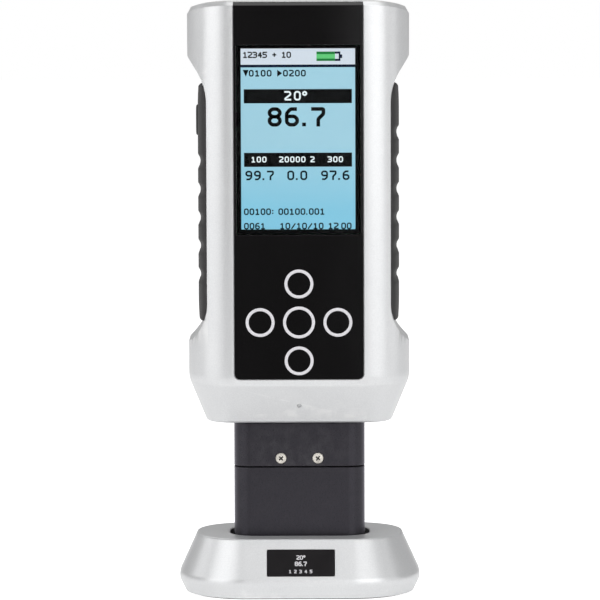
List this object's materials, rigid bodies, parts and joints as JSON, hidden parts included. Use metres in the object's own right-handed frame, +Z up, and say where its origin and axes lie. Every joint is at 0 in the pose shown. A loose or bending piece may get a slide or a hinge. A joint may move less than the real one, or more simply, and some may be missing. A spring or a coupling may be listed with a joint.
{
  "type": "gloss meter",
  "caption": "Handheld gloss meter with display, touch keys, rubber side grips and a slim measuring head, standing in the well of its calibration base.",
  "frame": {"origin": "on the floor under the middle of the base", "axes": "+Z up along the height of the meter, the display faces -Y, +X to the right of someone who looks at the display"},
  "size_m": [0.0812, 0.0526, 0.199],
  "materials": {
    "silver_paint": "satin metallic paint with a fine grain",
    "black_anodised": "black anodised, fine satin",
    "rubber": "matt moulded rubber",
    "steel": "plain turned or pressed",
    "label": "printed film",
    "foam": "closed-cell foam",
    "tile_glass": "polished black glass",
    "clear": "clear, polished",
    "circuit_board": "green solder mask",
    "chip": "moulded package",
    "black_gloss": "high gloss",
    "display": "lit liquid crystal display",
    "battery": "shrink wrap"
  },
  "bodies": {
    "meter": {"base_shell": "silver_paint", "base_plate": "black_anodised", "base_pad": "rubber", "base_screw_1": "steel", "base_screw_2": "steel", "base_screw_3": "steel", "base_screw_4": "steel", "base_label": "label", "tile_seat": "foam", "calibration_tile": "tile_glass", "lower_head_block": "black_anodised", "upper_head_block": "black_anodised", "head_screw_1": "steel", "head_screw_2": "steel", "head_screw_3": "steel", "head_screw_4": "steel", "head_plate": "steel", "plate_screw_left": "steel", "plate_screw_right": "steel", "source_lens": "clear", "source_spacer": "black_anodised", "source_aperture": "black_anodised", "source_led": "clear", "source_board": "circuit_board", "receiver_lens": "clear", "receiver_spacer": "black_anodised", "receiver_aperture": "black_anodised", "receiver_array": "chip", "receiver_board": "circuit_board", "front_shell": "silver_paint", "rear_shell": "silver_paint", "left_grip": "rubber", "right_grip": "rubber", "front_panel": "black_gloss", "display_lens": "clear", "lcd_module": "display", "touch_board": "circuit_board", "main_board": "circuit_board", "battery_pack": "battery", "side_switch": "chip", "status_light": "clear", "usb_socket": "steel", "case_screw_1": "steel", "case_screw_2": "steel", "case_screw_3": "steel", "case_screw_4": "steel"},
    "side_button": {"side_button": "rubber"}
  },
  "joints": [
    {"name": "side_button_press", "type": "slide", "parent": "meter", "child": "side_button", "axis": [1, 0, 0], "range_m": [0, 0.0008], "stiffness_N_per_m": 1500}
  ]
}
